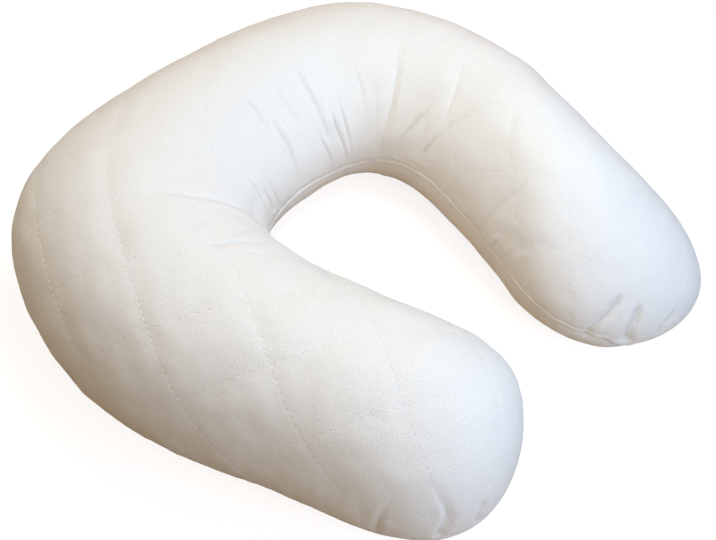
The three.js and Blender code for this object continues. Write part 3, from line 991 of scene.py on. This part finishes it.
depths = [calc(tree, "MULTIPLY", mark, -deep) for mark, deep in ((line, LINE_DEPTH), (hole, HOLE_DEPTH))]
depth = calc(tree, "ADD", *depths)
tree.links.new(depth, result.inputs["Height"])
tree.links.new(hole, result.inputs["Hole"])
stitch_lines = tree

# %% Weave
THREAD_SPACING = 0.55
THREAD_HEIGHT = 0.008
SLUB_SIZE = 0.7  # size of the thick and thin places in the threads
SLUB_HEIGHT = 0.15
RUMPLE_SIZE = 6.0  # size of the slight unevenness of the padding under the cloth
RUMPLE_HEIGHT = 0.10

outputs = [("Height", "Float"), ("Tint", "Float")]
tree, given, result = new_group("plain_weave", [("Panel", "Vector")], outputs)
scaled = tree.nodes.new("ShaderNodeVectorMath")
scaled.operation = "SCALE"
scaled.inputs["Scale"].default_value = QUILT_CELL
tree.links.new(given.outputs["Panel"], scaled.inputs[0])
split = tree.nodes.new("ShaderNodeSeparateXYZ")
tree.links.new(scaled.outputs[0], split.inputs[0])
turns_on = [calc(tree, "MULTIPLY", split.outputs[k], math.pi / THREAD_SPACING) for k in (0, 1)]
waves = [calc(tree, "SINE", turn_on) for turn_on in turns_on]
height = calc(tree, "MULTIPLY", calc(tree, "MULTIPLY", *waves), THREAD_HEIGHT)
grain = []
for size, tall, detail in ((SLUB_SIZE, SLUB_HEIGHT, 2), (RUMPLE_SIZE, RUMPLE_HEIGHT, 1)):
    noise = tree.nodes.new("ShaderNodeTexNoise")
    noise.inputs["Scale"].default_value = 1 / size
    noise.inputs["Detail"].default_value = detail
    tree.links.new(scaled.outputs[0], noise.inputs["Vector"])
    grain.append(calc(tree, "SUBTRACT", noise.outputs[0], 0.5))
    height = calc(tree, "ADD", height, calc(tree, "MULTIPLY", grain[-1], tall))
tree.links.new(height, result.inputs["Height"])
tree.links.new(grain[0], result.inputs["Tint"])
plain_weave = tree

# %% Creases
CREASE_WIDTH = 0.8
CREASE_DEPTH = 0.22

inputs = [("Gap", "Float"), ("Pull", "Float")]
outputs = [("Height", "Float"), ("Shade", "Float")]
tree, given, result = new_group("crease_line", inputs, outputs)
distance = calc(tree, "ABSOLUTE", given.outputs["Gap"])
slit = calc(tree, "EXPONENT", calc(tree, "MULTIPLY", distance, -1 / CREASE_WIDTH))
shade = calc(tree, "MULTIPLY", slit, given.outputs["Pull"])
tree.links.new(calc(tree, "MULTIPLY", shade, -CREASE_DEPTH), result.inputs["Height"])
tree.links.new(shade, result.inputs["Shade"])
crease_line = tree

# %% The cotton's material
COTTON = (0.90, 0.88, 0.85, 1)
# painted shade: how much the colour darkens in a needle hole
HOLE_SHADE = 0.06
# painted shade: how much the colour darkens at a crease's bottom and in the slit under the rolled edge
CREASE_SHADE = 0.14
TINT = 0.50  # how much lighter and darker the thick and thin threads are
LIP_SLIT = 1.1  # how far below the seam line the slit under the rolled edge lies

cotton = bpy.data.materials.new("quilted_cotton")
cotton.use_nodes = True
tree = cotton.node_tree
shader = tree.nodes["Principled BSDF"]
shader.inputs["Roughness"].default_value = 0.9
shader.inputs["Sheen Weight"].default_value = 0.12
shader.inputs["Sheen Roughness"].default_value = 0.5
shader.inputs["Specular IOR Level"].default_value = 0.25


def use_group(group, **values):
    """A copy of a node group in the cotton's material, with its inputs linked or set."""
    node = tree.nodes.new("ShaderNodeGroup")
    node.node_tree = group
    for name, value in values.items():
        if isinstance(value, bpy.types.NodeSocket):
            tree.links.new(value, node.inputs[name])
        else:
            node.inputs[name].default_value = value
    return node


def vertex_value(name):
    """The value of a vertex attribute."""
    node = tree.nodes.new("ShaderNodeAttribute")
    node.attribute_name = name
    return node.outputs["Fac"]


panel_place = tree.nodes.new("ShaderNodeUVMap")
panel_place.uv_map = "panel"
sewn = use_group(stitch_lines, Panel=panel_place.outputs[0])
woven = use_group(plain_weave, Panel=panel_place.outputs[0])
# The creases and the slit under the rolled edge each give a bump and painted shade
creased = use_group(crease_line, Gap=vertex_value("fold_gap"), Pull=vertex_value("fold_pull"))
slit = use_group(crease_line, Gap=calc(tree, "ADD", vertex_value("seam_gap"), LIP_SLIT), Pull=1.0)
height = sewn.outputs["Height"]
for node in (woven, creased, slit):
    height = calc(tree, "ADD", height, node.outputs["Height"])
bump = tree.nodes.new("ShaderNodeBump")
bump.inputs["Strength"].default_value = 1.0
bump.inputs["Distance"].default_value = MM
tree.links.new(height, bump.inputs["Height"])
tree.links.new(bump.outputs[0], shader.inputs["Normal"])
# The colour's brightness: the weave's tint, times painted shade in the holes, the creases and the slit under
# the seam's rolled edge
light = calc(tree, "MULTIPLY_ADD", woven.outputs["Tint"], TINT, 1.0)
shades = [(sewn.outputs["Hole"], HOLE_SHADE)]
shades += [(node.outputs["Shade"], CREASE_SHADE) for node in (creased, slit)]
for socket, share in shades:
    light = calc(tree, "MULTIPLY", light, calc(tree, "MULTIPLY_ADD", socket, -share, 1.0))
color = tree.nodes.new("ShaderNodeVectorMath")
color.operation = "SCALE"
color.inputs[0].default_value = COTTON[:3]
tree.links.new(light, color.inputs["Scale"])
tree.links.new(color.outputs[0], shader.inputs["Base Color"])
cover.data.materials.append(cotton)

# %% [markdown]
# ## The thread
#
# Sewing thread is smoother than the cloth, so it shines a little more and reads as a fine lighter
# dash. Only its roughness and colour differ from the cotton's: at this size nobody sees its twist.

# %% Thread
thread = bpy.data.materials.new("sewing_thread")
thread.use_nodes = True
shader = thread.node_tree.nodes["Principled BSDF"]
shader.inputs["Base Color"].default_value = (0.92, 0.90, 0.88, 1)
shader.inputs["Roughness"].default_value = 0.6
stitches.data.materials.append(thread)

# %% [markdown]
# ## The lights
#
# White cloth shows its form only through the colour and direction of the light. The photograph's
# colours read as cool light from above and from the front, with warm light mixed in from several
# sides. An even sky would be simpler, but it would flatten the crown, so each light is a large
# square lamp, a little way off. The strengths and colours began as a least-squares fit to the
# photograph's blurred colours and were then adjusted.


# %% Lights
def soft_box(name, azimuth, elevation, distance, size, power, color):
    """A square soft light, turned towards the middle of the pillow."""
    data = bpy.data.lights.new(name, "AREA")
    data.shape = "SQUARE"
    data.size = size
    data.energy = power
    data.color = color
    way = direction(azimuth, elevation)
    facing = way.to_track_quat("Z", "Y").to_matrix().to_4x4()
    in_scene(name, data).matrix_world = Matrix.Translation(way * distance) @ facing


# name, azimuth and elevation in degrees, distance and size in metres, power in watts, colour
LAMPS = (
    ("overhead", 90, 76, 0.62, 0.3, 2.1, (0.83, 0.92, 1.0)),
    ("window", 0, 28, 0.8, 0.4, 2.95, (0.46, 0.68, 1.0)),
    ("left_fill", 224, 35, 0.8, 0.4, 1.15, (1.0, 0.89, 0.77)),
    ("room_lamp", 180, 35, 0.8, 0.4, 0.65, (1.0, 0.75, 0.40)),
    ("side_lamp", 120, 15, 0.8, 0.4, 1.1, (1.0, 0.58, 0.35)),
    ("front_lamp", 330, 50, 0.8, 0.4, 1.6, (1.0, 0.78, 0.50)),
)
for lamp_values in LAMPS:
    soft_box(*lamp_values)
world = bpy.data.worlds.new("studio")
bpy.context.scene.world = world
world.use_nodes = True
world.node_tree.nodes["Background"].inputs["Strength"].default_value = 0.0
bpy.context.scene.view_settings.view_transform = "Standard"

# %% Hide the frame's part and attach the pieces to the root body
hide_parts("quilted_pillow")
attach(cover, "root")
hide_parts("quilted_pillow")
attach(stitches, "root")
